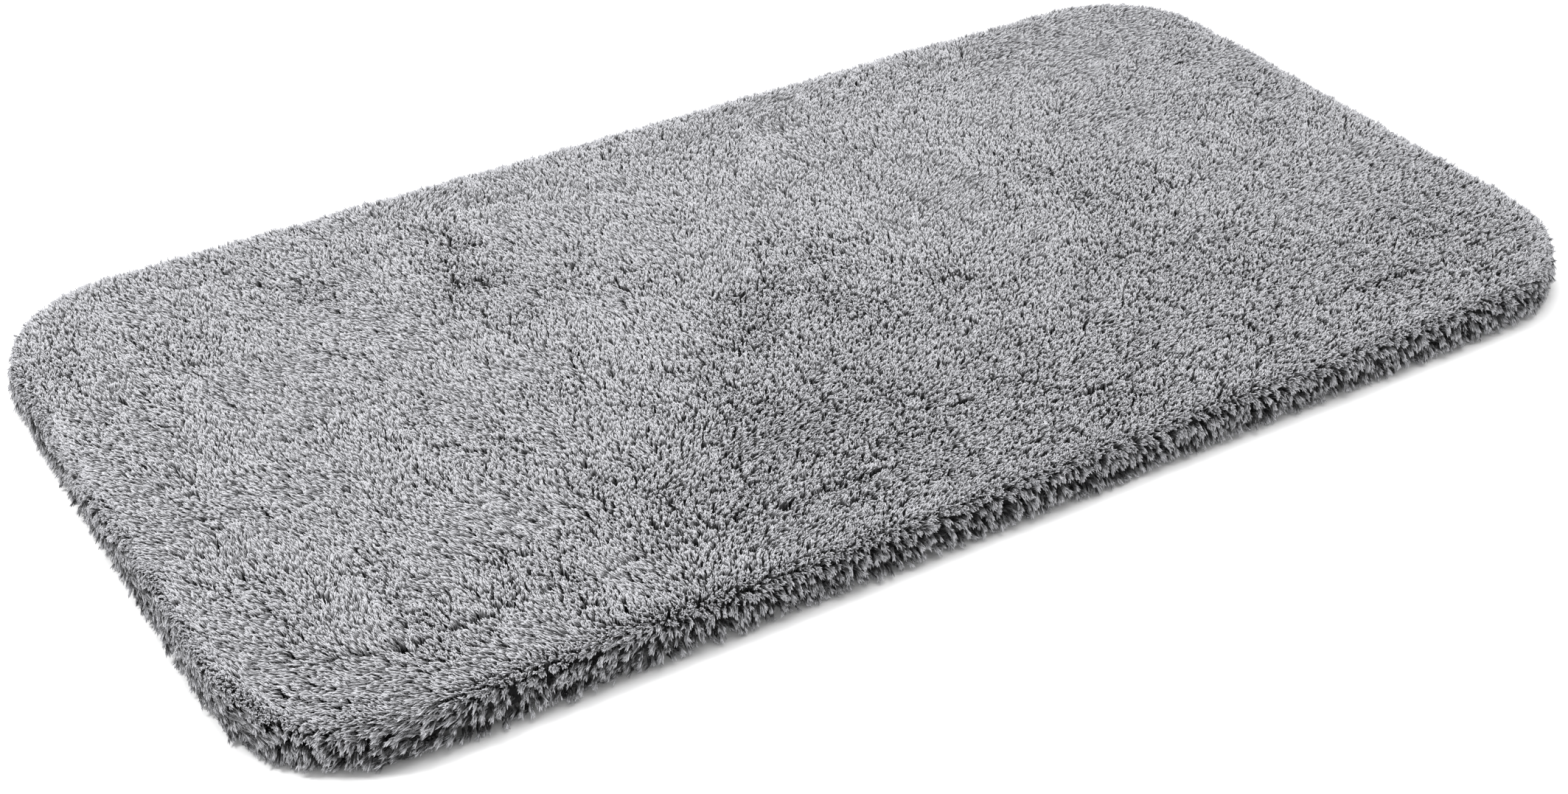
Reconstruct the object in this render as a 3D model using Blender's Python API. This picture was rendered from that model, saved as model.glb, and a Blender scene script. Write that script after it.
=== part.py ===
"""Deep-pile bath mat: cut cotton tufts on a woven backing whose margin is turned under and taped.

The mat lies on the floor with +X along its long side, +Y along its short side and +Z up.
The origin is on the floor under the middle of the mat.  All sizes are in metres.

Every edge in the mat runs parallel to its overall outline, so each piece is placed by its
inset: how far its edge lies inside that outline.  Heights are measured from the floor.
"""
import math

import bmesh
import bpy

# Overall size, measured over the pile
LENGTH = 1.10
WIDTH = 0.60
HEIGHT = 0.042
CORNER_RADIUS = 0.105

# The gap that two touching pieces keep
CLEARANCE = 0.0003

# Backing cloth, and the margin of it that is turned under all round
CLOTH_THICKNESS = 0.0008
MARGIN_WIDTH = 0.045
FOLD_WIDTH = 0.0012

# The border tufts fan out past the fold of the cloth and hang beside it, just off the floor
PILE_OVERHANG = 0.018
BORDER_SHOULDER = 0.017
BORDER_FOOT = 0.006
BORDER_DROP = 0.0015
BORDER_FLOOR_GAP = 0.0005
FIELD_SHOULDER = 0.004

# Tape over the raw edge of the turned-under margin, and the two rows of thread that hold it
TAPE_THICKNESS = 0.0006
TAPE_ON_MARGIN = 0.020
TAPE_PAST_MARGIN = 0.010
THREAD_DIAMETER = 0.0004
THREAD_FLOOR_GAP = 0.0002
STITCH_FROM_TAPE_EDGE = 0.003

# Blank care label on the tape of one long side, between its rows of thread
LABEL_LENGTH = 0.050
LABEL_THICKNESS = 0.0003
LABEL_FROM_THREAD = 0.0015
LABEL_X = 0.180

CORNER_SEGMENTS = 8
SHOULDER_SEGMENTS = 5
SMALLEST_RADIUS = 0.006
CUTTER_REACH = 0.010
SAME_HEIGHT = 0.000001
SAME_POINT = 0.00001

# Insets, from the outside in
CLOTH_INSET = PILE_OVERHANG
MARGIN_INSET = CLOTH_INSET + MARGIN_WIDTH
TAPE_OUTER_INSET = MARGIN_INSET - TAPE_ON_MARGIN
TAPE_INNER_INSET = MARGIN_INSET + TAPE_PAST_MARGIN

# Heights, from the floor up: thread, tape, turned-under margin, cloth, pile
TAPE_LOW = THREAD_FLOOR_GAP + THREAD_DIAMETER + CLEARANCE
TAPE_HIGH = TAPE_LOW + TAPE_THICKNESS
MARGIN_LOW = TAPE_HIGH + CLEARANCE
MARGIN_HIGH = MARGIN_LOW + CLOTH_THICKNESS
CLOTH_LOW = MARGIN_HIGH + CLEARANCE
CLOTH_HIGH = CLOTH_LOW + CLOTH_THICKNESS
PILE_LOW = CLOTH_HIGH + CLEARANCE


def clear_scene():
    for item in list(bpy.data.objects):
        bpy.data.objects.remove(item, do_unlink=True)


def new_collection(name):
    collection = bpy.data.collections.new(name)
    bpy.context.scene.collection.children.link(collection)
    return collection


def material(name, colour, roughness):
    finish = bpy.data.materials.new(name)
    finish.use_nodes = True
    shader = finish.node_tree.nodes["Principled BSDF"]
    shader.inputs["Base Color"].default_value = (*colour, 1.0)
    shader.inputs["Roughness"].default_value = roughness
    shader.inputs["Metallic"].default_value = 0.0
    return finish


def outline(inset):
    """The corner arcs of a rounded rectangle that lies `inset` inside the mat's outline."""
    radius = max(CORNER_RADIUS - inset, SMALLEST_RADIUS)
    centre_x = LENGTH / 2 - inset - radius
    centre_y = WIDTH / 2 - inset - radius
    corners = ((1, 1), (-1, 1), (-1, -1), (1, -1))
    points = []
    for quarter, (side_x, side_y) in enumerate(corners):
        for step in range(CORNER_SEGMENTS + 1):
            angle = math.pi / 2 * (quarter + step / CORNER_SEGMENTS)
            x = side_x * centre_x + radius * math.cos(angle)
            y = side_y * centre_y + radius * math.sin(angle)
            points.append((x, y))
    return points


def closed_curve(name, inset, height, collection):
    """A closed curve along the outline, at one height."""
    curve = bpy.data.curves.new(name, "CURVE")
    spline = curve.splines.new("POLY")
    points = outline(inset)
    spline.points.add(len(points) - 1)
    for point, (x, y) in zip(spline.points, points):
        point.co = (x, y, 0.0, 1.0)
    spline.use_cyclic_u = True
    item = bpy.data.objects.new(name, curve)
    item.location.z = height
    collection.objects.link(item)
    return item


def as_mesh(item, collection):
    """Swap a curve object for a mesh of the same name, with each cap welded on as one face."""
    bpy.context.view_layer.update()
    graph = bpy.context.evaluated_depsgraph_get()
    mesh = bpy.data.meshes.new_from_object(item.evaluated_get(graph))
    edit = bmesh.new()
    edit.from_mesh(mesh)
    bmesh.ops.remove_doubles(edit, verts=edit.verts, dist=SAME_POINT)
    bmesh.ops.dissolve_limit(edit, angle_limit=0.001, verts=edit.verts, edges=edit.edges)
    edit.to_mesh(mesh)
    edit.free()
    name = item.name
    place = item.matrix_world.copy()
    bpy.data.objects.remove(item, do_unlink=True)
    solid = bpy.data.objects.new(name, mesh)
    solid.matrix_world = place
    collection.objects.link(solid)
    return solid


def plate(name, inset, low, high, collection):
    """A flat slab between two heights, with its edge on the outline at `inset`."""
    item = closed_curve(name, inset, (low + high) / 2, collection)
    item.data.dimensions = "2D"
    item.data.fill_mode = "BOTH"
    item.data.extrude = (high - low) / 2
    return as_mesh(item, collection)


def round_rim(piece, top, radius, segments):
    """Round the top or the bottom rim of a slab."""
    edit = bmesh.new()
    edit.from_mesh(piece.data)
    side = 1 if top else -1
    rim_height = max(side * corner.co.z for corner in edit.verts)
    rim = [edge for edge in edit.edges
           if all(rim_height - side * corner.co.z < SAME_HEIGHT for corner in edge.verts)]
    bmesh.ops.bevel(edit, geom=rim, offset=radius, segments=segments, profile=0.5,
                    affect="EDGES", clamp_overlap=True)
    edit.to_mesh(piece.data)
    edit.free()


def cut(piece, cutter):
    """Take the cutter's shape away from the piece, and leave the cutter as a hidden guide."""
    boolean = piece.modifiers.new("cut_" + cutter.name, "BOOLEAN")
    boolean.operation = "DIFFERENCE"
    boolean.solver = "EXACT"
    boolean.object = cutter
    cutter.hide_render = True
    cutter.display_type = "WIRE"


def finish_piece(piece, finish, smooth=False):
    piece.data.materials.clear()
    piece.data.materials.append(finish)
    if smooth:
        piece.data.shade_smooth()
        piece.data.set_sharp_from_angle(angle=math.radians(40))


def make_backing_cloth(parts, cutters):
    """Woven cloth with its margin folded back under itself: one piece, open inside the fold."""
    cloth = plate("backing_cloth", CLOTH_INSET, MARGIN_LOW, CLOTH_HIGH, parts)
    round_rim(cloth, top=True, radius=CLOTH_THICKNESS, segments=2)
    round_rim(cloth, top=False, radius=CLOTH_THICKNESS / 2, segments=2)
    inside_margin = plate("inside_margin", MARGIN_INSET, MARGIN_LOW - CUTTER_REACH,
                          CLOTH_LOW, cutters)
    fold_gap = plate("fold_gap", CLOTH_INSET + FOLD_WIDTH, MARGIN_HIGH, CLOTH_LOW, cutters)
    cut(cloth, inside_margin)
    cut(cloth, fold_gap)
    finish_piece(cloth, material("woven_cotton", (0.42, 0.42, 0.43), 0.9))


def make_pile_field(parts):
    """The tufts of the middle of the mat, inside the line where the margin ends underneath."""
    field = plate("pile_field", MARGIN_INSET + CLEARANCE, PILE_LOW, HEIGHT, parts)
    round_rim(field, top=True, radius=FIELD_SHOULDER, segments=2)
    finish_piece(field, material("cotton_pile", (0.46, 0.46, 0.48), 0.95), smooth=True)


def make_pile_border(parts, cutters):
    """The tufts on the turned margin: they stand over it and roll down past its fold."""
    border_top = HEIGHT - BORDER_DROP
    straight_side = border_top - BORDER_FLOOR_GAP - BORDER_FOOT
    shoulder = min(BORDER_SHOULDER, 0.9 * straight_side)
    border = plate("pile_border", 0.0, BORDER_FLOOR_GAP, border_top, parts)
    round_rim(border, top=True, radius=shoulder, segments=SHOULDER_SEGMENTS)
    round_rim(border, top=False, radius=BORDER_FOOT, segments=2)
    field_space = plate("field_space", MARGIN_INSET, -CUTTER_REACH, HEIGHT + CUTTER_REACH,
                        cutters)
    cloth_space = plate("cloth_space", CLOTH_INSET - CLEARANCE, -CUTTER_REACH, PILE_LOW,
                        cutters)
    cut(border, field_space)
    cut(border, cloth_space)
    finish_piece(border, material("cotton_pile_border", (0.46, 0.46, 0.48), 0.95), smooth=True)


def make_hem_tape(parts, cutters):
    """Cotton tape laid flat over the raw edge of the margin, all the way round."""
    tape = plate("hem_tape", TAPE_OUTER_INSET, TAPE_LOW, TAPE_HIGH, parts)
    inside_tape = plate("inside_tape", TAPE_INNER_INSET, TAPE_LOW - CUTTER_REACH,
                        TAPE_HIGH + CUTTER_REACH, cutters)
    cut(tape, inside_tape)
    finish_piece(tape, material("cotton_tape", (0.50, 0.50, 0.51), 0.9))


def make_latex_coat(parts, cutters):
    """Anti-slip coat under the cloth, inside the margin, with a rebate that the tape lies in."""
    coat = plate("latex_coat", MARGIN_INSET + CLEARANCE, 0.0, MARGIN_HIGH, parts)
    tape_space = plate("tape_space", TAPE_OUTER_INSET, -CUTTER_REACH, TAPE_HIGH + CLEARANCE,
                       cutters)
    coat_foot = plate("coat_foot", TAPE_INNER_INSET + CLEARANCE, -2 * CUTTER_REACH,
                      TAPE_HIGH + CUTTER_REACH, cutters)
    cut(tape_space, coat_foot)
    cut(coat, tape_space)
    finish_piece(coat, material("latex", (0.62, 0.62, 0.58), 0.6))


def make_stitch_row(name, inset, parts):
    """One row of sewing thread on the underside of the tape."""
    row = closed_curve(name, inset, THREAD_FLOOR_GAP + THREAD_DIAMETER / 2, parts)
    row.data.dimensions = "3D"
    row.data.bevel_depth = THREAD_DIAMETER / 2
    row.data.bevel_resolution = 1
    row.data.materials.append(material(name + "_thread", (0.48, 0.48, 0.49), 0.6))


def make_care_label(parts):
    """Small blank label on the underside of the tape, between its two rows of thread."""
    thread_half = THREAD_DIAMETER / 2
    outer_inset = TAPE_OUTER_INSET + STITCH_FROM_TAPE_EDGE + thread_half + LABEL_FROM_THREAD
    inner_inset = TAPE_INNER_INSET - STITCH_FROM_TAPE_EDGE - thread_half - LABEL_FROM_THREAD
    middle_inset = (outer_inset + inner_inset) / 2
    depth = inner_inset - outer_inset
    height = TAPE_LOW - CLEARANCE - LABEL_THICKNESS / 2
    place = (LABEL_X, middle_inset - WIDTH / 2, height)
    bpy.ops.mesh.primitive_cube_add(size=1.0, location=place)
    label = bpy.context.active_object
    label.name = "care_label"
    label.scale = (LABEL_LENGTH, depth, LABEL_THICKNESS)
    bpy.ops.object.transform_apply(location=False, rotation=False, scale=True)
    for collection in list(label.users_collection):
        collection.objects.unlink(label)
    parts.objects.link(label)
    finish_piece(label, material("label_ribbon", (0.80, 0.80, 0.78), 0.5))


def build():
    clear_scene()
    parts = new_collection("bath_mat")
    cutters = new_collection("cutters")
    make_backing_cloth(parts, cutters)
    make_pile_field(parts)
    make_pile_border(parts, cutters)
    make_hem_tape(parts, cutters)
    make_latex_coat(parts, cutters)
    make_stitch_row("stitch_row_outer", TAPE_OUTER_INSET + STITCH_FROM_TAPE_EDGE, parts)
    make_stitch_row("stitch_row_inner", TAPE_INNER_INSET - STITCH_FROM_TAPE_EDGE, parts)
    make_care_label(parts)


build()
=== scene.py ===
import math

import bpy
import numpy as np
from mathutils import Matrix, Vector


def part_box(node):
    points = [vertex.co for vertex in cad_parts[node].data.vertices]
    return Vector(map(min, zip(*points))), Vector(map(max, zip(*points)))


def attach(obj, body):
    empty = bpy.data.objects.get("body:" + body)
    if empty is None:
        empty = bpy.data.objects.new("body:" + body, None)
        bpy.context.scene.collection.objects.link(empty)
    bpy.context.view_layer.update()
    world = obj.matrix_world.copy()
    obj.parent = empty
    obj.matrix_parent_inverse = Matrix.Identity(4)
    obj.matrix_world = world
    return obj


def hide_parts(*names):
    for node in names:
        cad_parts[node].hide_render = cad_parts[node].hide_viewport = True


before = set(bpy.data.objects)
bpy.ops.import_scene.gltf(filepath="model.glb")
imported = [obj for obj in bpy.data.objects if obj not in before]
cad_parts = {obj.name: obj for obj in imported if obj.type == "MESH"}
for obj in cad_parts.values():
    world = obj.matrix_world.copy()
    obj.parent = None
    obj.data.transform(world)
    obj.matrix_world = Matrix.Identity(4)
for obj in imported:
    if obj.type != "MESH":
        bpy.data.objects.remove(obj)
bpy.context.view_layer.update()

dice = np.random.default_rng(20)

# ---------------------------------------------------------------------------------------------
# BACKING CLOTH.  Plain-woven cotton that the pile is tufted through.  Its margin is folded
# under all round, and where the fold goes round a corner the spare cloth lies in small pleats.
# Every other edge of the mat runs parallel to this fold, so the outline is worked out here.
# ---------------------------------------------------------------------------------------------
pile_low, pile_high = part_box("pile_border")
cloth_low, cloth_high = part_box("backing_cloth")
CORNER_RADIUS = 0.105
SPINE = np.array([pile_high.x - CORNER_RADIUS, pile_high.y - CORNER_RADIUS])
CLOTH_INSET = pile_high.x - cloth_high.x
MARGIN_INSET = pile_high.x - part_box("pile_field")[1].x
CLOTH_THICKNESS = 0.0008
PLEATS_PER_CORNER = 9
PLEAT_DEPTH = 0.00025


def rim_stations(step, steps_per_corner):
    """Points on the rectangle through the corners' centres, and the way out from each."""
    centres, ways = [], []
    for quarter in range(4):
        side = np.array([(1, 1), (-1, 1), (-1, -1), (1, -1)][quarter])
        after = np.array([(-1, 1), (-1, -1), (1, -1), (1, 1)][quarter])
        for turn in np.linspace(0, 1, steps_per_corner + 1):
            angle = math.pi / 2 * (quarter + turn)
            centres.append(side * SPINE)
            ways.append((math.cos(angle), math.sin(angle)))
        run = np.linalg.norm((after - side) * SPINE)
        count = max(2, round(run / step))
        for share in np.arange(1, count) / count:
            centres.append((side + (after - side) * share) * SPINE)
            ways.append(ways[-1])
    return np.array(centres), np.array(ways)


def new_piece(name, points, faces, materials=()):
    """A smooth mesh object from points and faces, linked to the scene."""
    mesh = bpy.data.meshes.new(name)
    mesh.from_pydata([tuple(p) for p in points], [], [tuple(int(i) for i in f) for f in faces])
    mesh.update()
    for finish in materials:
        mesh.materials.append(finish)
    piece = bpy.data.objects.new(name, mesh)
    bpy.context.scene.collection.objects.link(piece)
    mesh.shade_smooth()
    return piece


def swept_rim(name, stations, insets, heights, closed, materials=()):
    """A surface swept round the mat.  insets and heights hold a row for each station."""
    centres, ways = stations
    rows, columns = insets.shape
    reach = (CORNER_RADIUS - insets)[:, :, None]
    flat = centres[:, None, :] + ways[:, None, :] * reach
    points = np.concatenate([flat, heights[:, :, None]], axis=2).reshape(-1, 3)
    faces = []
    for row in range(rows):
        ahead = (row + 1) % rows
        for column in range(columns if closed else columns - 1):
            beside = (column + 1) % columns
            faces.append((row * columns + beside, ahead * columns + beside,
                          ahead * columns + column, row * columns + column))
    if not closed:
        faces.append([row * columns for row in range(rows)])
        faces.append([row * columns + columns - 1 for row in range(rows)][::-1])
    return new_piece(name, points, faces, materials)


def node(tree, kind, **settings):
    made = tree.nodes.new(kind)
    for key, value in settings.items():
        setattr(made, key, value)
    return made


def join(tree, source, target):
    tree.links.new(source, target)


def maths(tree, operation, first, second=None):
    """A Math node on two values, each a number or a socket."""
    made = node(tree, "ShaderNodeMath", operation=operation)
    for socket, value in zip(made.inputs, (first, second)):
        if value is None:
            continue
        if isinstance(value, (int, float)):
            socket.default_value = value
        else:
            join(tree, value, socket)
    return made.outputs[0]


def new_group(name, inputs, outputs):
    """A shader node group with float or colour sockets."""
    group = bpy.data.node_groups.new(name, "ShaderNodeTree")
    for socket, value in inputs.items():
        kind = "NodeSocketFloat" if isinstance(value, (int, float)) else "NodeSocketColor"
        group.interface.new_socket(socket, in_out="INPUT", socket_type=kind).default_value = value
    for socket, kind in outputs.items():
        group.interface.new_socket(socket, in_out="OUTPUT", socket_type=kind)
    return group, node(group, "NodeGroupInput"), node(group, "NodeGroupOutput")


def placed(tree, group, **values):
    """The group as a node in a material, with its own values."""
    made = node(tree, "ShaderNodeGroup", node_tree=group)
    for name, value in values.items():
        made.inputs[name.replace("_", " ")].default_value = value
    return made


def new_finish(name, roughness, sheen=0.0):
    finish = bpy.data.materials.new(name)
    finish.use_nodes = True
    shader = finish.node_tree.nodes["Principled BSDF"]
    shader.inputs["Roughness"].default_value = roughness
    shader.inputs["Specular IOR Level"].default_value = 0.25
    shader.inputs["Sheen Weight"].default_value = sheen
    shader.inputs["Sheen Roughness"].default_value = 0.6
    return finish, finish.node_tree, shader


def bumped(tree, shader, height, distance, strength=1.0):
    bump = node(tree, "ShaderNodeBump")
    bump.inputs["Distance"].default_value = distance
    bump.inputs["Strength"].default_value = strength
    join(tree, height, bump.inputs["Height"])
    join(tree, bump.outputs["Normal"], shader.inputs["Normal"])


def make_weave_group():
    """Crossing threads.  Slant moves each thread's crossings along, which makes a twill."""
    group, given, made = new_group(
        "crossing threads",
        {"Thread Width": 0.0008, "Slant": 0.0, "Fuzz": 0.15, "Light": (0.6, 0.6, 0.6, 1),
         "Dark": (0.4, 0.4, 0.4, 1)},
        {"Colour": "NodeSocketColor", "Height": "NodeSocketFloat"})
    place = node(group, "ShaderNodeTexCoord")
    split = node(group, "ShaderNodeSeparateXYZ")
    join(group, place.outputs["Object"], split.inputs[0])
    across = maths(group, "DIVIDE", split.outputs["X"], given.outputs["Thread Width"])
    along = maths(group, "DIVIDE", split.outputs["Y"], given.outputs["Thread Width"])
    shift = maths(group, "MULTIPLY", across, given.outputs["Slant"])
    along_shifted = maths(group, "ADD", along, shift)
    warp_turn = maths(group, "MULTIPLY", across, math.pi)
    weft_turn = maths(group, "MULTIPLY", along_shifted, math.pi)
    warp = maths(group, "ABSOLUTE", maths(group, "SINE", warp_turn))
    weft = maths(group, "ABSOLUTE", maths(group, "SINE", weft_turn))
    cell = maths(group, "ADD", maths(group, "FLOOR", across), maths(group, "FLOOR", along_shifted))
    over = maths(group, "MODULO", maths(group, "ABSOLUTE", cell), 2.0)
    under = maths(group, "SUBTRACT", 1.0, over)
    relief = maths(group, "ADD", maths(group, "MULTIPLY", warp, over),
                   maths(group, "MULTIPLY", weft, under))
    noise = node(group, "ShaderNodeTexNoise")
    noise.inputs["Scale"].default_value = 2500.0
    noise.inputs["Detail"].default_value = 3.0
    join(group, place.outputs["Object"], noise.inputs["Vector"])
    fuzz = maths(group, "MULTIPLY", noise.outputs["Fac"], given.outputs["Fuzz"])
    height = maths(group, "ADD", relief, fuzz)
    # Painted shade: the colour goes from Dark down between the threads to Light on their tops
    mix = node(group, "ShaderNodeMix", data_type="RGBA")
    join(group, height, mix.inputs["Factor"])
    join(group, given.outputs["Dark"], mix.inputs["A"])
    join(group, given.outputs["Light"], mix.inputs["B"])
    join(group, mix.outputs["Result"], made.inputs["Colour"])
    join(group, height, made.inputs["Height"])
    return group


crossing_threads = make_weave_group()


def woven_finish(name, thread_width, slant, light, dark, roughness=0.85):
    finish, tree, shader = new_finish(name, roughness, sheen=0.3)
    # The weave's colour carries painted shade between the threads
    weave = placed(tree, crossing_threads, Thread_Width=thread_width, Slant=slant,
                   Light=light, Dark=dark)
    join(tree, weave.outputs["Colour"], shader.inputs["Base Color"])
    bumped(tree, shader, weave.outputs["Height"], thread_width * 0.5)
    return finish


stations = rim_stations(step=0.008, steps_per_corner=54)
corner_turn = np.array([min(abs(way[0]), abs(way[1])) > 0.01 for way in stations[1]])
pleat_angle = np.arctan2(stations[1][:, 1], stations[1][:, 0]) * 4 * PLEATS_PER_CORNER
pleat = np.where(corner_turn, np.cos(pleat_angle), 0.0)
top, under = cloth_high.z, cloth_low.z
inside_top = top - CLOTH_THICKNESS
inside_under = under + CLOTH_THICKNESS
# From the middle of the top, out over the fold, in to the raw edge, and back inside the fold
cloth_profile = [
    (MARGIN_INSET + 0.012, top), (MARGIN_INSET - 0.020, top), (CLOTH_INSET + 0.0016, top),
    (CLOTH_INSET + 0.0004, top - 0.0003), (CLOTH_INSET, (top + under) / 2),
    (CLOTH_INSET + 0.0004, under + 0.0003), (CLOTH_INSET + 0.0016, under),
    (CLOTH_INSET + 0.012, under), (CLOTH_INSET + 0.024, under), (MARGIN_INSET - 0.008, under),
    (MARGIN_INSET, under), (MARGIN_INSET, inside_under), (MARGIN_INSET - 0.008, inside_under),
    (CLOTH_INSET + 0.012, inside_under), (CLOTH_INSET + 0.0014, inside_under),
    (CLOTH_INSET + 0.0010, (inside_top + inside_under) / 2), (CLOTH_INSET + 0.0014, inside_top),
    (CLOTH_INSET + 0.012, inside_top), (MARGIN_INSET + 0.012, inside_top)]
pleated = np.array([0, 0, 0, 0, 0, 0, .3, 1, 1, .6, .4, .4, .6, 1, .3, 0, 0, 0, 0])
insets = np.tile([p[0] for p in cloth_profile], (len(pleat), 1))
heights = np.tile([p[1] for p in cloth_profile], (len(pleat), 1))
heights += pleat[:, None] * pleated[None, :] * PLEAT_DEPTH
cloth_weave = woven_finish("plain woven cotton", 0.0009, 0.0, (0.52, 0.52, 0.53, 1),
                           (0.25, 0.25, 0.26, 1))
backing = swept_rim("backing_cloth_woven", stations, insets, heights, False, [cloth_weave])
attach(backing, "root")
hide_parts("backing_cloth")

# ---------------------------------------------------------------------------------------------
# LATEX COAT.  Sprayed anti-slip latex under the cloth, inside the folded margin.  Its solid has
# the right shape, so it stays, and gets the finely stippled skin that dried latex has.
# ---------------------------------------------------------------------------------------------


def make_latex_finish():
    finish, tree, shader = new_finish("dried latex", 0.55)
    place = node(tree, "ShaderNodeTexCoord")
    stipple = node(tree, "ShaderNodeTexVoronoi", feature="SMOOTH_F1")
    stipple.inputs["Scale"].default_value = 420.0
    cloud = node(tree, "ShaderNodeTexNoise")
    cloud.inputs["Scale"].default_value = 14.0
    cloud.inputs["Detail"].default_value = 4.0
    tint = node(tree, "ShaderNodeMix", data_type="RGBA")
    tint.inputs["A"].default_value = (0.56, 0.55, 0.49, 1)
    tint.inputs["B"].default_value = (0.70, 0.69, 0.63, 1)
    join(tree, place.outputs["Object"], stipple.inputs["Vector"])
    join(tree, place.outputs["Object"], cloud.inputs["Vector"])
    join(tree, cloud.outputs["Fac"], tint.inputs["Factor"])
    join(tree, tint.outputs["Result"], shader.inputs["Base Color"])
    bumped(tree, shader, stipple.outputs["Distance"], 0.0004)
    return finish


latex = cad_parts["latex_coat"]
latex.data.materials.clear()
latex.data.materials.append(make_latex_finish())

# ---------------------------------------------------------------------------------------------
# HEM TAPE.  Herringbone cotton tape, laid flat over the raw edge of the margin and drawn down
# a little along its two rows of stitches.
# ---------------------------------------------------------------------------------------------
tape_low, tape_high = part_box("hem_tape")
TAPE_WIDTH = 0.030
TAPE_OUTER = pile_high.x - tape_high.x
TAPE_INNER = TAPE_OUTER + TAPE_WIDTH
STITCH_FROM_EDGE = 0.003
TAPE_SWELL = 0.00025
TAPE_CLEAR = 0.0002
tape_stations = rim_stations(step=0.004, steps_per_corner=60)
across = np.linspace(0, 1, 13)
lift = np.sin(np.clip((across * TAPE_WIDTH - STITCH_FROM_EDGE)
                      / (TAPE_WIDTH - 2 * STITCH_FROM_EDGE), 0, 1) * math.pi)
count = len(tape_stations[0])
pucker = 0.5 + 0.5 * np.sin(np.arange(count) * 2.4) * np.sin(np.arange(count) * 0.37)
tape_under = tape_low.z + TAPE_CLEAR - TAPE_SWELL * lift[None, :] * pucker[:, None]
tape_over = np.full((count, len(across)), tape_high.z)
tape_insets = TAPE_OUTER + across * TAPE_WIDTH
insets = np.tile(np.concatenate([tape_insets, tape_insets[::-1]]), (count, 1))
heights = np.concatenate([tape_over, tape_under[:, ::-1]], axis=1)
tape_twill = woven_finish("cotton twill tape", 0.0006, 1.0, (0.60, 0.60, 0.61, 1),
                          (0.33, 0.33, 0.34, 1))
tape = swept_rim("hem_tape_twill", tape_stations, insets[:, ::-1], heights[:, ::-1], True,
                 [tape_twill])
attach(tape, "root")
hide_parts("hem_tape")

# ---------------------------------------------------------------------------------------------
# STITCH ROWS.  Two rows of lockstitch through the tape.  Each stitch is a short length of
# plied thread that comes up through the tape, lies on it and goes back in.
# ---------------------------------------------------------------------------------------------
THREAD_RADIUS = 0.00022
STITCH_LENGTH = 0.0036
STITCH_SINK = 0.0004
THREAD_SIDES = 6


def make_thread_finish():
    finish, tree, shader = new_finish("plied thread", 0.5, sheen=0.2)
    place = node(tree, "ShaderNodeTexCoord")
    ply = node(tree, "ShaderNodeTexWave", bands_direction="DIAGONAL")
    ply.inputs["Scale"].default_value = 900.0
    # Painted shade: the thread is darker in the grooves between its plies, lighter on their ridges
    tint = node(tree, "ShaderNodeMix", data_type="RGBA")
    tint.inputs["A"].default_value = (0.36, 0.36, 0.37, 1)
    tint.inputs["B"].default_value = (0.58, 0.58, 0.59, 1)
    join(tree, place.outputs["Object"], ply.inputs["Vector"])
    join(tree, ply.outputs["Fac"], tint.inputs["Factor"])
    join(tree, tint.outputs["Result"], shader.inputs["Base Color"])
    bumped(tree, shader, ply.outputs["Fac"], 0.0001)
    return finish


def rim_walk(inset, spacing):
    """Evenly spaced points round the mat at one inset, with the way along and the way out."""
    centres, ways = rim_stations(step=0.002, steps_per_corner=90)
    line = centres + ways * (CORNER_RADIUS - inset)
    line = np.vstack([line, line[:1]])
    ways = np.vstack([ways, ways[:1]])
    run = np.concatenate([[0], np.cumsum(np.linalg.norm(np.diff(line, axis=0), axis=1))])
    count = round(run[-1] / spacing)
    at = np.arange(count) * run[-1] / count
    points = np.stack([np.interp(at, run, line[:, i]) for i in (0, 1)], axis=1)
    out = np.stack([np.interp(at, run, ways[:, i]) for i in (0, 1)], axis=1)
    out /= np.linalg.norm(out, axis=1, keepdims=True)
    return points, np.stack([-out[:, 1], out[:, 0]], axis=1), out


def stitch_row(name, inset, cad_node, finish):
    points, along, out = rim_walk(inset, STITCH_LENGTH)
    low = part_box(cad_node)[0].z
    # Each stitch's own line: its place along the seam and its height over the tape's face
    line = [(-0.46, STITCH_SINK), (-0.34, 0.0001), (-0.12, 0.0), (0.12, 0.0), (0.34, 0.0001),
            (0.46, STITCH_SINK)]
    verts, faces = [], []
    for point, tangent, side in zip(points, along, out):
        first = len(verts)
        for share, rise in line:
            for k in range(THREAD_SIDES):
                angle = 2 * math.pi * k / THREAD_SIDES
                wide = THREAD_RADIUS * math.cos(angle)
                x, y = point + tangent * share * STITCH_LENGTH + side * wide
                verts.append((x, y, low + THREAD_RADIUS + rise + THREAD_RADIUS * math.sin(angle)))
        for ring in range(len(line) - 1):
            for k in range(THREAD_SIDES):
                a = first + ring * THREAD_SIDES + k
                b = first + ring * THREAD_SIDES + (k + 1) % THREAD_SIDES
                faces.append((a, a + THREAD_SIDES, b + THREAD_SIDES, b))
        faces.append([first + k for k in range(THREAD_SIDES)])
        last = first + (len(line) - 1) * THREAD_SIDES
        faces.append([last + k for k in range(THREAD_SIDES)][::-1])
    row = new_piece(name, verts, faces, [finish])
    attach(row, "root")
    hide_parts(cad_node)
    return row


thread_finish = make_thread_finish()
stitches_outer = stitch_row("stitches_outer", TAPE_OUTER + STITCH_FROM_EDGE, "stitch_row_outer",
                            thread_finish)
stitches_inner = stitch_row("stitches_inner", TAPE_INNER - STITCH_FROM_EDGE, "stitch_row_inner",
                            thread_finish)

# ---------------------------------------------------------------------------------------------
# CARE LABEL.  A blank satin ribbon, a little lower between its two ends than at them.
# ---------------------------------------------------------------------------------------------
label_low, label_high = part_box("care_label")
RIBBON_SHARE = 0.8
RIBBON_CLEAR = 0.00005
RIBBON_BOW = 0.00008
RIBBON_WAVE = 0.00005
RIBBON_SKEW = 0.0003


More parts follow.
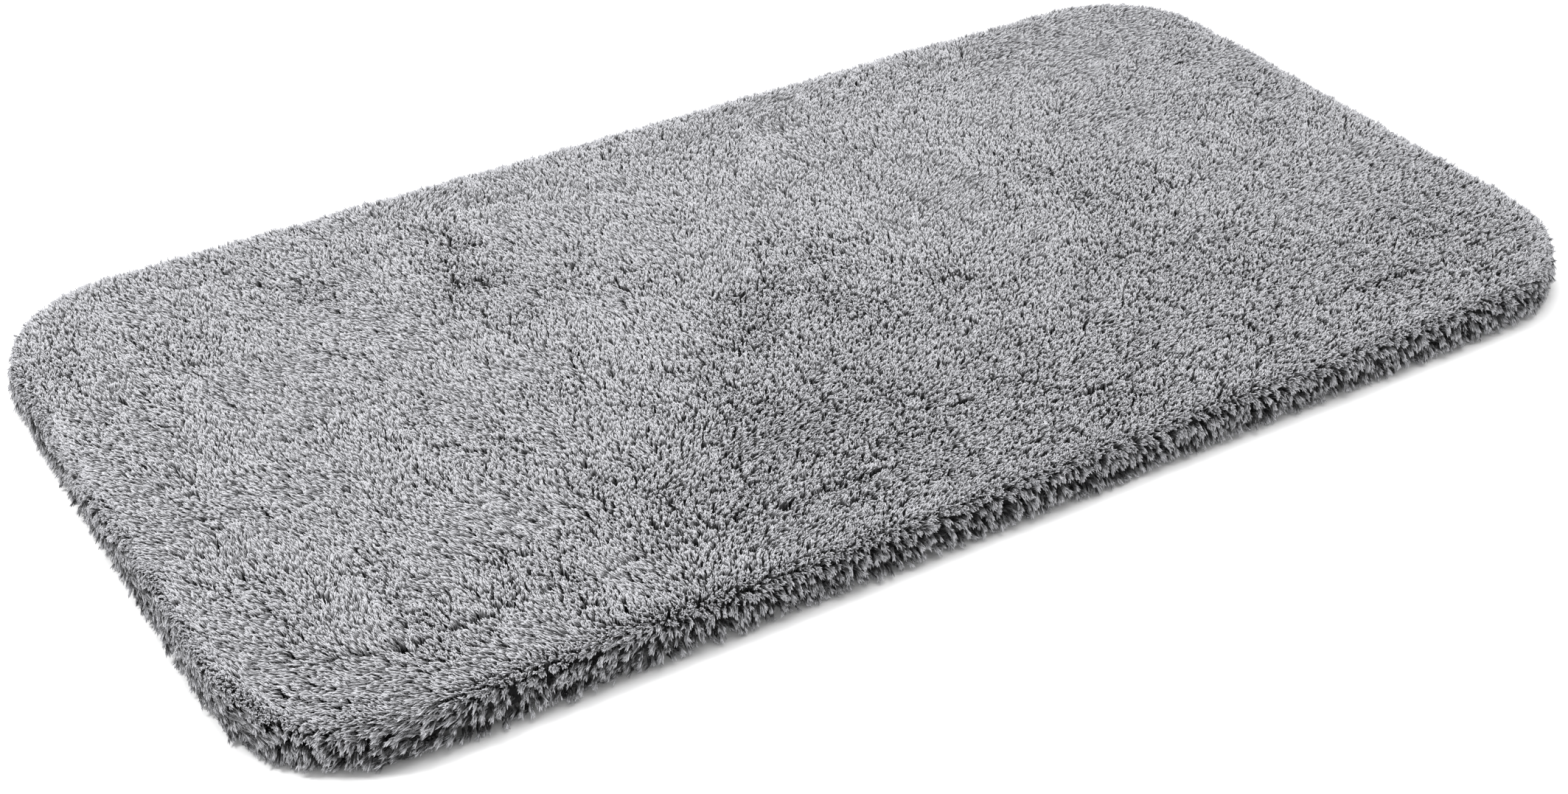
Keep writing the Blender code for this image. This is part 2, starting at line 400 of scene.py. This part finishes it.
def make_care_label():
    rows, columns = 25, 9
    thickness = (label_high.z - label_low.z) * RIBBON_SHARE
    verts = []
    for face in (1, 0):
        for i in range(rows):
            u = i / (rows - 1)
            bow = math.sin(u * math.pi) ** 0.5
            for j in range(columns):
                v = j / (columns - 1)
                wave = RIBBON_WAVE * math.sin(9 * u + 2.0 * v)
                x = label_low.x + u * (label_high.x - label_low.x)
                y = label_low.y + v * (label_high.y - label_low.y)
                y += RIBBON_SKEW * math.sin(5 * u) * (v - 0.5)
                z = label_high.z - RIBBON_CLEAR - RIBBON_BOW * bow + wave - (1 - face) * thickness
                verts.append((x, y, z))
    half = rows * columns
    faces = []
    for i in range(rows - 1):
        for j in range(columns - 1):
            a = i * columns + j
            faces.append((a, a + columns, a + columns + 1, a + 1))
            faces.append(tuple(half + k for k in (a, a + 1, a + columns + 1, a + columns)))
    edge = ([i * columns for i in range(rows)]
            + [(rows - 1) * columns + j for j in range(1, columns)]
            + [i * columns + columns - 1 for i in range(rows - 2, -1, -1)]
            + [j for j in range(columns - 2, 0, -1)])
    for a, b in zip(edge, edge[1:] + edge[:1]):
        faces.append((a, half + a, half + b, b))
    satin = woven_finish("satin ribbon", 0.00025, 4.0, (0.86, 0.86, 0.84, 1),
                         (0.74, 0.74, 0.72, 1), roughness=0.4)
    label = new_piece("care_label_ribbon", verts, faces, [satin])
    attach(label, "root")
    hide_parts("care_label")
    return label


care_label = make_care_label()

# ---------------------------------------------------------------------------------------------
# PRESSED PILE.  The lower half of the tufts, where they stand so close that they make one
# soft mass.  It fills the mat between the cloth and the loose upper halves of the tufts.
# ---------------------------------------------------------------------------------------------
MAT_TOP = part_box("pile_field")[1].z
ROOT_HEIGHT = 0.023
PRESSED_INSET = 0.0150
PRESSED_ROUND = 0.006
PRESSED_OVER_ROOTS = 0.001
PRESSED_OVER_CLOTH = 0.0002
PRESSED_UNEVEN = 0.0008


def make_pressed_pile(finish):
    coarse = rim_stations(step=0.012, steps_per_corner=24)
    floor = cloth_high.z + PRESSED_OVER_CLOTH
    turn = np.linspace(0, math.pi / 2, 5)
    top = ROOT_HEIGHT + PRESSED_OVER_ROOTS
    profile = [(0.060, top), (0.035, top)]
    profile += [(PRESSED_INSET + PRESSED_ROUND * (1 - math.sin(t)),
                 top - PRESSED_ROUND * (1 - math.cos(t))) for t in turn]
    profile += [(PRESSED_INSET, floor + 0.006), (PRESSED_INSET + 0.002, floor), (0.060, floor)]
    insets = np.tile([p[0] for p in profile], (len(coarse[0]), 1))
    heights = np.tile([p[1] for p in profile], (len(coarse[0]), 1))
    heights[:, 1:-2] += dice.uniform(-PRESSED_UNEVEN, PRESSED_UNEVEN, heights[:, 1:-2].shape)
    return swept_rim("pressed_pile", coarse, insets, np.maximum(heights, floor), False, [finish])


def make_yarn_group():
    """Cotton yarn: the yarn colour at its lightest, each tuft and strand darker by its own amount,
    with fine fibre flecks, and darker towards the root: painted shade where the tufts shade
    one another."""
    group, given, made = new_group(
        "cotton yarn",
        {"Yarn": (0.4, 0.4, 0.4, 1), "Tuft Spread": 0.46, "Fleck": 0.5, "Root Shade": 0.5},
        {"Colour": "NodeSocketColor"})
    tuft = node(group, "ShaderNodeAttribute", attribute_name="tuft_tone")
    along = node(group, "ShaderNodeAttribute", attribute_name="along_yarn")
    place = node(group, "ShaderNodeTexCoord")
    fleck = node(group, "ShaderNodeTexNoise")
    fleck.inputs["Scale"].default_value = 1400.0
    fleck.inputs["Detail"].default_value = 2.0
    join(group, place.outputs["Object"], fleck.inputs["Vector"])
    spread = maths(group, "MULTIPLY", maths(group, "SUBTRACT", tuft.outputs["Fac"], 0.5),
                   given.outputs["Tuft Spread"])
    flecks = maths(group, "MULTIPLY", maths(group, "SUBTRACT", fleck.outputs["Fac"], 0.5),
                   given.outputs["Fleck"])
    # Painted shade: the yarn darkens towards the root, where the tufts shade one another
    depth = maths(group, "SUBTRACT", 1.0, maths(group, "POWER", along.outputs["Fac"], 2.5))
    shade = maths(group, "MULTIPLY", depth, given.outputs["Root Shade"])
    tone = maths(group, "SUBTRACT", maths(group, "ADD", maths(group, "ADD", spread, flecks), 1.0),
                 shade)
    scale = node(group, "ShaderNodeVectorMath", operation="SCALE")
    join(group, given.outputs["Yarn"], scale.inputs[0])
    lightness = maths(group, "MINIMUM", tone, 1.0)
    join(group, maths(group, "MAXIMUM", lightness, 0.05), scale.inputs["Scale"])
    join(group, scale.outputs["Vector"], made.inputs["Colour"])
    return group


cotton_yarn = make_yarn_group()
YARN_COLOUR = (0.584, 0.586, 0.612, 1)


def yarn_finish(name, colour, root_shade):
    finish, tree, shader = new_finish(name, 0.9, sheen=0.15)
    yarn = placed(tree, cotton_yarn, Yarn=colour, Root_Shade=root_shade)
    join(tree, yarn.outputs["Colour"], shader.inputs["Base Color"])
    return finish


# Near black: painted shade for the deep gaps between the tufts, over the pressed pile
pressed_pile_shade = yarn_finish("pressed cotton pile in painted shade", (0.025, 0.025, 0.027, 1), 0.0)
pressed = make_pressed_pile(pressed_pile_shade)
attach(pressed, "root")

# ---------------------------------------------------------------------------------------------
# TUFTS.  Cut cotton yarn in bundles of a few strands, set in rows 3 mm apart.  In the middle of
# the mat they stand up and lean the way they were last brushed; round the rim they bend over
# the edge, and the lowest ones hang to the floor like a skirt.
# ---------------------------------------------------------------------------------------------
TUFT_SPACING = 0.00315
ROW_GAP = TUFT_SPACING * 0.93
TUFT_SCATTER = 0.18  # of the spacing, off each tuft's own place
TUFT_RADIUS = 0.00120
STRANDS = 5
STRAND_RADIUS = 0.00043
STRANDS_PER_PIECE = 16000
CURL = 0.0022
LOWEST_YARN = 0.0008
# Locks hang together down the side, clumps on the top
LOCK_SIZE = 0.0075
BROAD_LOCK_SIZE = 0.0135
CLUMP_SIZE = 0.0095
BROAD_CLUMP_SIZE = 0.026
# The patches of random values repeat after this many, and are counted from far outside the mat
NOISE_CELLS = 64
NOISE_START = 200.0
# How far a tuft's tip leans over when it lies on its neighbours, and the least and most it leans
LYING_LEAN = 0.0080
LEAST_LEAN, MOST_LEAN = 0.0006, 0.0092
# The tufts from the flat top, over the edge and down to the floor, in millimetres: the run
# along the cloth, then the inset and height of the root, of the bend and of the tip
RIM_TUFTS = np.array([
    (0, 20.0, 23.0, 20.0, 37.6, 20.0, 41.0),
    (5, 16.0, 23.0, 15.4, 37.6, 15.0, 41.0),
    (10, 13.0, 23.0, 11.2, 37.2, 10.4, 40.6),
    (15, 12.4, 22.5, 8.2, 35.6, 6.3, 38.8),
    (20, 12.0, 22.0, 6.0, 32.4, 3.4, 34.6),
    (25, 12.0, 21.0, 4.8, 29.2, 1.8, 29.2),
    (30, 12.0, 19.5, 4.0, 25.8, 0.9, 23.4),
    (35, 12.0, 17.0, 3.6, 21.6, 0.4, 17.4),
    (39, 12.0, 14.5, 3.6, 18.0, 0.1, 12.4),
    (43, 12.5, 11.5, 3.8, 13.6, 0.0, 7.6),
    (46, 12.5, 9.0, 4.4, 10.0, 0.1, 4.0),
    (49, 12.5, 6.5, 5.6, 6.4, 1.0, 1.4),
    (52, 13.0, 4.5, 7.5, 3.8, 3.8, 0.9),
    (56, 14.4, 3.8, 10.6, 2.4, 7.6, 0.9)]) * 0.001
RIM_START = RIM_TUFTS[0, 1]
RIM_RUN = RIM_TUFTS[-1, 0]
tuft_finish = yarn_finish("cotton pile yarn", YARN_COLOUR, 1.0)


def soft_noise(points, size, seed):
    """Smooth random values from -1 to 1 over the plan, in patches of about this size."""
    grid = np.random.default_rng(seed).uniform(-1, 1, (NOISE_CELLS, NOISE_CELLS))
    at = points / size + NOISE_START
    cell = np.floor(at).astype(int)
    part = at - cell
    part = part * part * (3 - 2 * part)
    x, y = cell[:, 0] % NOISE_CELLS, cell[:, 1] % NOISE_CELLS
    right, up = (x + 1) % NOISE_CELLS, (y + 1) % NOISE_CELLS
    near = grid[x, y] * (1 - part[:, 0]) + grid[right, y] * part[:, 0]
    far = grid[x, up] * (1 - part[:, 0]) + grid[right, up] * part[:, 0]
    return near * (1 - part[:, 1]) + far * part[:, 1]


def plan_of_tufts():
    """Staggered rows over the cloth laid flat, margin included, each tuft a little off its place."""
    reach = RIM_RUN - RIM_START
    half = SPINE + CORNER_RADIUS + reach
    rows = np.arange(-half[1], half[1], ROW_GAP)
    columns = np.arange(-half[0], half[0], TUFT_SPACING)
    x, y = np.meshgrid(columns, rows)
    x = x + (np.arange(len(rows)) % 2)[:, None] * TUFT_SPACING / 2
    plan = np.stack([x.ravel(), y.ravel()], axis=1)
    plan += dice.uniform(-TUFT_SCATTER, TUFT_SCATTER, plan.shape) * TUFT_SPACING
    beyond = np.abs(plan) - SPINE
    side = np.sign(plan)
    corner = (beyond > 0).all(axis=1)
    away = np.linalg.norm(beyond.clip(0), axis=1)
    distance = np.where(corner, away, beyond.max(axis=1))
    longer = (beyond[:, 0] > beyond[:, 1])[:, None]
    straight = np.where(longer, [1.0, 0.0], [0.0, 1.0])
    round_way = beyond.clip(0) / np.maximum(away, 1e-9)[:, None]
    way = np.where(corner[:, None], round_way, straight) * side
    inset = CORNER_RADIUS - distance
    kept = inset > -reach
    return plan[kept], inset[kept], way[kept]


def brushed_lean(plan):
    """How far each tuft's tip lies over, in metres.  The brushing turns from back and leftwards
    at the left to rightwards at the right and along the front, and in patches the pile lies
    flatter or stands straighter."""
    share = (plan[:, 0] / SPINE[0]).clip(-1, 1) * 0.5 + 0.5
    turn = math.radians(128) - share * math.radians(126)
    turn = turn + 0.45 * soft_noise(plan, 0.15, 1) + 0.55 * soft_noise(plan, 0.045, 2)
    size = 0.0078 + 0.0030 * soft_noise(plan, 0.11, 3) + 0.0036 * soft_noise(plan, 0.032, 4)
    # Patches where a hand or a foot has passed: middle, reach, and how much flatter they lie
    passes = [((0.09, 0.165), 0.13, 0.005), ((-0.39, -0.03), 0.14, 0.003),
              ((0.39, 0.22), 0.07, 0.004), ((0.17, 0.04), 0.04, 0.004),
              ((-0.39, 0.16), 0.07, -0.003), ((-0.02, -0.09), 0.19, -0.006),
              ((0.25, 0.07), 0.06, -0.004), ((0.27, -0.15), 0.09, -0.004),
              ((-0.21, 0.16), 0.04, -0.004), ((-0.25, -0.15), 0.10, -0.003)]
    for middle, reach, more in passes:
        away = ((plan - middle) ** 2).sum(axis=1) / reach ** 2
        size = size + more * np.exp(-away)
    size = size.clip(LEAST_LEAN, MOST_LEAN)
    back = np.stack([np.cos(turn), np.sin(turn)], axis=1) * size[:, None]
    front_turn = math.radians(-40) + share * math.radians(36) + 0.5 * soft_noise(plan, 0.05, 16)
    front_size = 0.0034 + 0.0014 * soft_noise(plan, 0.04, 17)
    front = np.stack([np.cos(front_turn), np.sin(front_turn)], axis=1) * front_size[:, None]
    part = (((-plan[:, 1] - 0.04) / 0.14).clip(0, 1) * ((share - 0.16) / 0.2).clip(0, 1))[:, None]
    return back * (1 - part) + front * part


def open_hem(plan):
    """How far the pile parts over the folded margin's edge, 0 to about 1, along that line."""
    spots = [((-0.415, -0.24), 0.05, 0.8), ((-0.15, -0.24), 0.09, 0.8), ((0.38, -0.235), 0.06, 1.0),
             ((0.12, -0.24), 0.06, 0.3), ((-0.49, -0.05), 0.12, 0.5), ((0.2, 0.24), 0.15, 0.2)]
    open_by = 0.22 + 0.25 * soft_noise(plan, 0.03, 12)
    for middle, reach, more in spots:
        open_by = open_by + more * np.exp(-((plan - middle) ** 2).sum(axis=1) / reach ** 2)
    _, clump = clumps(plan, LOCK_SIZE, 14)
    return open_by.clip(0, 1.1) * (0.50 + 0.75 * clump[:, 0]).clip(0, 1.1)


def swept_to_corner(line, sideways):
    """How far the rim's tufts lie along the rim, towards the corner they were brushed round."""
    corner = np.array([-1, -1]) * (SPINE + CORNER_RADIUS * 0.7)
    to_corner = corner - line
    far = np.linalg.norm(to_corner, axis=1)
    same_way = (unit(to_corner) * sideways).sum(axis=1)
    return 0.011 * same_way * np.exp(-(far / 0.24) ** 2) * (far / 0.05).clip(0, 1)


def clumps(plan, size, seed):
    """For each tuft, the way to the middle of the clump that it has joined, and two random
    numbers from -1 to 1 that the whole clump shares."""
    spots = np.random.default_rng(seed)
    spread = spots.uniform(0.1, 0.9, (NOISE_CELLS, NOISE_CELLS, 2))
    shared = spots.uniform(-1, 1, (NOISE_CELLS, NOISE_CELLS, 2))
    at = plan / size + NOISE_START
    cell = np.floor(at).astype(int)
    best = np.full(len(plan), 1e9)
    pull = np.zeros_like(plan)
    common = np.zeros_like(plan)
    for i in (-1, 0, 1):
        for j in (-1, 0, 1):
            near = cell + (i, j)
            index = near[:, 0] % NOISE_CELLS, near[:, 1] % NOISE_CELLS
            gap = (near + spread[index] - at) * size
            far = np.linalg.norm(gap, axis=1)
            closer = (far < best)[:, None]
            best = np.minimum(best, far)
            pull = np.where(closer, gap, pull)
            common = np.where(closer, shared[index], common)
    return pull, common


def unit(vectors):
    return vectors / np.maximum(np.linalg.norm(vectors, axis=1, keepdims=True), 1e-9)


def run_over_rim(inset, line, way, locks, shared):
    """How far along the cloth each tuft stands from the start of the rim.  Down the side this is
    uneven, so that the pile hangs in locks."""
    run = (RIM_START - inset).clip(0)
    uneven = 0.0014 * shared[:, 0] + 0.0025 * soft_noise(line, 0.03, 13)
    uneven = uneven + 0.45 * (locks * way).sum(axis=1)
    return (run + uneven * ((run - 0.014) / 0.014).clip(0, 1)).clip(0, RIM_RUN)


def places_by_run(run, inset, line, way):
    """Root, crook and tip of each tuft before it leans: upright on the top, and from RIM_TUFTS
    over the rim."""

    def placed_at(inset_column, height_column, flat_height):
        reach = np.interp(run, RIM_TUFTS[:, 0], RIM_TUFTS[:, inset_column])
        height = np.interp(run, RIM_TUFTS[:, 0], RIM_TUFTS[:, height_column])
        reach = np.where(run > 0, reach, inset)
        height = np.where(run > 0, height, flat_height)
        return np.column_stack([line - way * reach[:, None], height])

    return (placed_at(1, 2, ROOT_HEIGHT), placed_at(3, 4, MAT_TOP - 0.0036),
            placed_at(5, 6, MAT_TOP - 0.0008))


def lean_on_top(plan, brushed, loose):
    """How the top's tufts lean: brushed over large patches, then clump by clump.  Also what each
    clump of them shares."""
    pull, common = clumps(plan, CLUMP_SIZE, 5)
    _, wide = clumps(plan, BROAD_CLUMP_SIZE, 6)
    lean = brushed * 1.1 + common * 0.0016 + wide * 0.0014 + pull * 0.20 * loose[:, None]
    return (lean + dice.normal(0, 0.0012, (len(plan), 2))) * 0.80, common


def parted_over_margin(plan, inset):
    """Where the folded margin ends underneath, the border's pile sits a step lower, and in places
    the pile parts along that line: each tuft's change of length, and its lean from the line."""
    parting = open_hem(plan)
    past_line = MARGIN_INSET - inset + 0.0036 * soft_noise(plan, 0.018, 15)
    outside = past_line > 0
    step = np.where(outside, np.exp(-past_line.clip(0) / 0.014), 0.0)
    trough = np.exp(-((past_line - 0.0024) / 0.0030) ** 2)
    change = -(0.0026 * step + 0.0050 * trough) * parting
    aside = np.exp(-(past_line / 0.006) ** 2) * np.where(outside, 0.0009, -0.0009) * parting
    return change, aside


def set_tufts():
    """Root, crook and tip of every tuft, how far it lies from the mat's outline, how thick it
    is, how flat it was brushed, and how light it is."""
    plan, inset, way = plan_of_tufts()
    count = len(plan)
    sideways = np.column_stack([-way[:, 1], way[:, 0]])
    line = plan + way * inset[:, None]
    locks, shared = clumps(plan, LOCK_SIZE, 7)
    run = run_over_rim(inset, line, way, locks, shared)
    rim = (run / 0.020).clip(0, 1)[:, None]
    side = ((run - 0.015) / 0.022).clip(0, 1)[:, None]
    low = ((run - 0.031) / 0.012).clip(0, 1)
    root, bend, tip = places_by_run(run, inset, line, way)

    brushed = brushed_lean(plan)
    lying = (np.linalg.norm(brushed, axis=1) / LYING_LEAN).clip(0, 1) * (1 - rim[:, 0])
    loose = 1 - 0.5 * lying
    lean, common = lean_on_top(plan, brushed, loose)
    lean = lean * (1 - 0.88 * rim)

    # Round the rim the tufts lie over to one side or the other, in locks a few millimetres wide
    broad, _ = clumps(plan, BROAD_LOCK_SIZE, 18)
    together = ((0.75 * locks + 0.4 * broad) * sideways).sum(axis=1, keepdims=True) * sideways
    drift = 0.0050 * soft_noise(line, 0.045, 8)[:, None] + 0.0008
    drift = drift + 0.0034 * shared[:, :1] * side + swept_to_corner(line, sideways)[:, None]
    grip = (0.95 + 0.6 * soft_noise(line, 0.022, 11)).clip(0.2, 1.15)[:, None]
    lean = lean + sideways * drift * rim + together * 0.2 * rim
    root[:, :2] += together * 0.42 * side * grip
    bend[:, :2] += together * 0.60 * side * grip
    lean = lean + together * 0.66 * side * grip
    outward = 0.0019 * shared[:, 1:] * side + dice.normal(0, 0.0005, (count, 1)) * rim
    push = np.column_stack([lean + way * outward, np.zeros(count)])
    bend[:, :2] += way * outward * 0.8

    # Tips swing over on their own length, and tufts differ a little in length
    change, aside = parted_over_margin(plan, inset)
    push[:, :2] += way * (aside * (1 - rim[:, 0]))[:, None]
    change = change + (0.0009 * common[:, 0] + dice.normal(0, 0.0006, count)) * loose
    change = change + 0.0006 * soft_noise(plan, 0.02, 10)
    fan = unit(tip - root)
    length = np.linalg.norm(tip - root, axis=1)[:, None]
    tip = tip + push - fan * ((push * push).sum(axis=1, keepdims=True) / (2 * length))
    tip = tip + fan * change[:, None]
    bend = bend + push * 0.38 + fan * change[:, None]

    # Upright tufts show their separate ends; those that lie over cover the gaps between them
    fullness = (0.69 + 0.26 * lying + 0.08 * rim[:, 0]) * (1 - 0.54 * low)
    # Some of the lowest tufts are darker, painted shade at the foot; those that roll over the
    #     edge are lighter, painted light
    turn_painted_light = np.exp(-((run - 0.028) / 0.009) ** 2)
    foot_painted_shade = low * (dice.uniform(0, 1, count) > 0.55)
    tone = (dice.uniform(0, 1, count) - 0.5) * loose + 0.4 + 0.08 * lying - 2.2 * foot_painted_shade
    return root, bend, tip, inset, fullness, lying, tone + 0.5 * turn_painted_light


def strand_lines(root, bend, tip, fullness, lying):
    """Root, crook and tip of every strand.  The ends curl over in all directions, and the outer
    ones of a tuft end a little lower, so that the tuft has a rounded end."""
    count = len(root)
    heading = unit(tip - root)
    reference = np.where(np.abs(heading[:, 2:3]) > 0.8, [1.0, 0.0, 0.0], [0.0, 0.0, 1.0])
    first = unit(np.cross(heading, reference))
    second = np.cross(heading, first)
    start = dice.uniform(0, 2 * math.pi, count)
    lines = []
    for strand in range(STRANDS):
        share = math.sqrt((strand + 0.5) / STRANDS)
        angle = start + 2.4 * strand + dice.normal(0, 0.3, count)
        out = first * np.cos(angle)[:, None] + second * np.sin(angle)[:, None]
        out = out * (TUFT_RADIUS * fullness * share * (1 + dice.normal(0, 0.15, count)))[:, None]
        turned = dice.uniform(0, 2 * math.pi, count)
        curl = first * np.cos(turned)[:, None] + second * np.sin(turned)[:, None]
        curl = curl * (CURL * (1 - 0.45 * lying) * (0.5 + dice.uniform(0, 1, count)))[:, None]
        stray = dice.normal(0, 0.0003, (count, 3))
        short = heading * (0.0008 * share ** 2 + dice.normal(0, 0.0007, count))[:, None]
        lines.append((root + out * 0.6, bend + out - curl * 0.4 - short,
                      tip + out * 0.9 + curl * 0.6 + stray - short))
    root, bend, tip = [np.stack(group, axis=1).reshape(-1, 3) for group in zip(*lines)]
    tip[:, 2] = np.maximum(tip[:, 2], LOWEST_YARN)
    bend[:, 2] = np.maximum(bend[:, 2], LOWEST_YARN)
    return root, bend, tip


def strand_points(root, bend, tip, thickness):
    """A strand's root, a ring of three points at its crook, another near its end, and its tip."""
    reference = unit(dice.normal(0, 1, root.shape))
    turn = dice.uniform(0, 2 * math.pi, len(root))
    points = [root]
    near_end = bend + (tip - bend) * 0.74
    for middle, heading in ((bend, unit(tip - root)), (near_end, unit(tip - bend))):
        first = unit(np.cross(heading, reference))
        second = np.cross(heading, first)
        for k in range(3):
            angle = turn + 2 * math.pi * k / 3
            out = first * np.cos(angle)[:, None] + second * np.sin(angle)[:, None]
            points.append(middle + out * thickness[:, None])
    points.append(tip)
    return np.stack(points, axis=1)


STRAND_FACES = ([(0, 1 + (k + 1) % 3, 1 + k) for k in range(3)]
                + [(1 + k, 1 + (k + 1) % 3, 4 + (k + 1) % 3, 4 + k) for k in range(3)]
                + [(4 + k, 4 + (k + 1) % 3, 7) for k in range(3)])
ALONG_STRAND = np.array([0, 0.46, 0.46, 0.46, 0.96, 0.96, 0.96, 1.0])
ACROSS_STRAND = np.array([0.5, 0, 0.5, 1.0, 0, 0.5, 1.0, 0.5])


def strand_mesh(name, points, tones, lying, finish):
    """One mesh of many strands, with each strand's own patch of the map for its colours.  The
    strands that lie flat show more of their length clear of the painted root shade."""
    count, per_strand = points.shape[:2]
    corners = np.concatenate([np.array(face) for face in STRAND_FACES])
    sizes = np.array([len(face) for face in STRAND_FACES])
    mesh = bpy.data.meshes.new(name)
    mesh.vertices.add(count * per_strand)
    mesh.vertices.foreach_set("co", points.astype(np.float32).ravel())
    shift = np.arange(count)[:, None] * per_strand
    loops = (corners[None, :] + shift).ravel()
    mesh.loops.add(len(loops))
    mesh.loops.foreach_set("vertex_index", loops.astype(np.int32))
    starts = np.concatenate([[0], np.cumsum(np.tile(sizes, count))[:-1]])
    mesh.polygons.add(count * len(STRAND_FACES))
    mesh.polygons.foreach_set("loop_start", starts.astype(np.int32))
    mesh.update(calc_edges=True)
    lengthways = mesh.attributes.new("along_yarn", "FLOAT", "POINT")
    # along_yarn sets the painted root shade; strands that lie flat keep more of their length lit
    lightness = ALONG_STRAND[None, :] ** (1 - 0.35 * lying)[:, None]
    lengthways.data.foreach_set("value", lightness.astype(np.float32).ravel())
    tone = mesh.attributes.new("tuft_tone", "FLOAT", "POINT")
    tone.data.foreach_set("value", np.repeat(tones, per_strand).astype(np.float32))
    cells = math.ceil(math.sqrt(count))
    place = np.stack([np.arange(count) % cells, np.arange(count) // cells], axis=1)
    patch = np.stack([ACROSS_STRAND * 0.8 + 0.1, ALONG_STRAND * 0.8 + 0.1], axis=1)
    spots = (place[:, None, :] + patch[None, :, :]) / cells
    chart = mesh.uv_layers.new(name="OFBake")
    chart.uv.foreach_set("vector", spots.reshape(-1, 2)[loops].astype(np.float32).ravel())
    mesh.materials.append(finish)
    mesh.shade_smooth()
    piece = bpy.data.objects.new(name, mesh)
    bpy.context.scene.collection.objects.link(piece)
    return piece


def make_tufts():
    """All tufts, in pieces of limited size: the middle's are strips across the mat, and the
    border's are lengths round it."""
    root, bend, tip, inset, fullness, lying, tone = set_tufts()
    inset = np.repeat(inset, STRANDS)
    root, bend, tip = strand_lines(root, bend, tip, fullness, lying)
    lying = np.repeat(lying, STRANDS)
    mixed = 0.5 + dice.uniform(-0.5, 0.5, len(inset)) * (1.4 - 0.9 * lying)
    tones = np.repeat(tone, STRANDS) * 0.45 + mixed * 0.55
    thickness = STRAND_RADIUS * (1 + dice.normal(0, 0.10, len(inset)))
    groups = [("pile_field", inset > MARGIN_INSET, root[:, 0]),
              ("pile_border", inset <= MARGIN_INSET, np.arctan2(root[:, 1], root[:, 0]))]
    pieces = []
    for cad_node, chosen, order in groups:
        which = np.flatnonzero(chosen)
        which = which[np.argsort(order[which], kind="stable")]
        parts = np.array_split(which, math.ceil(len(which) / STRANDS_PER_PIECE))
        for number, part in enumerate(parts):
            points = strand_points(root[part], bend[part], tip[part], thickness[part])
            piece = strand_mesh(f"{cad_node}_{number + 1:02d}", points, tones[part], lying[part],
                                tuft_finish)
            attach(piece, "root")
            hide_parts(cad_node)
            pieces.append(piece)
    return pieces


tufts = make_tufts()

# ---------------------------------------------------------------------------------------------
# STUDIO.  A pale floor and sky, a key light from the far left, a broad light overhead, and the
# camera.
# ---------------------------------------------------------------------------------------------


def make_floor():
    finish, tree, shader = new_finish("pale floor", 0.9)
    shader.inputs["Base Color"].default_value = (0.88, 0.88, 0.88, 1)
    floor = new_piece("studio_floor", [(-9, -9, -0.0004), (9, -9, -0.0004), (9, 9, -0.0004),
                                       (-9, 9, -0.0004)], [(0, 1, 2, 3)], [finish])


def make_light(name, place, size, power):
    """A round soft light, aimed at the middle of the mat."""
    lamp = bpy.data.lights.new(name, "AREA")
    lamp.shape = "DISK"
    lamp.size = size
    lamp.energy = power
    light = bpy.data.objects.new(name, lamp)
    light.location = place
    light.rotation_euler = (-Vector(place)).to_track_quat("-Z", "Y").to_euler()
    bpy.context.scene.collection.objects.link(light)


def make_sky(strength):
    world = bpy.data.worlds.new("studio")
    world.use_nodes = True
    sky = world.node_tree.nodes["Background"]
    sky.inputs["Color"].default_value = (1.0, 1.0, 1.0, 1)
    sky.inputs["Strength"].default_value = strength
    bpy.context.scene.world = world


def make_camera():
    azimuth, elevation = math.radians(-32.89), math.radians(33.61)
    target = Vector((-0.0170, -0.1111, 0.0))
    distance = 1.760
    back = Vector((math.sin(azimuth) * math.cos(elevation),
                   -math.cos(azimuth) * math.cos(elevation), math.sin(elevation)))
    lens = bpy.data.cameras.new("camera")
    lens.sensor_width = 36.0
    lens.lens = 55.03
    lens.shift_x = -0.0546
    camera = bpy.data.objects.new("camera", lens)
    camera.location = target + back * distance
    camera.rotation_euler = (-back).to_track_quat("-Z", "Y").to_euler()
    bpy.context.scene.collection.objects.link(camera)
    bpy.context.scene.camera = camera


make_floor()
make_sky(0.82)
make_light("key", (-1.5, 0.7, 2.5), size=0.9, power=54.0)
make_light("overhead", (0.3, 0.20, 2.6), size=2.4, power=62.0)
make_camera()
bpy.context.scene.view_settings.view_transform = "Standard"
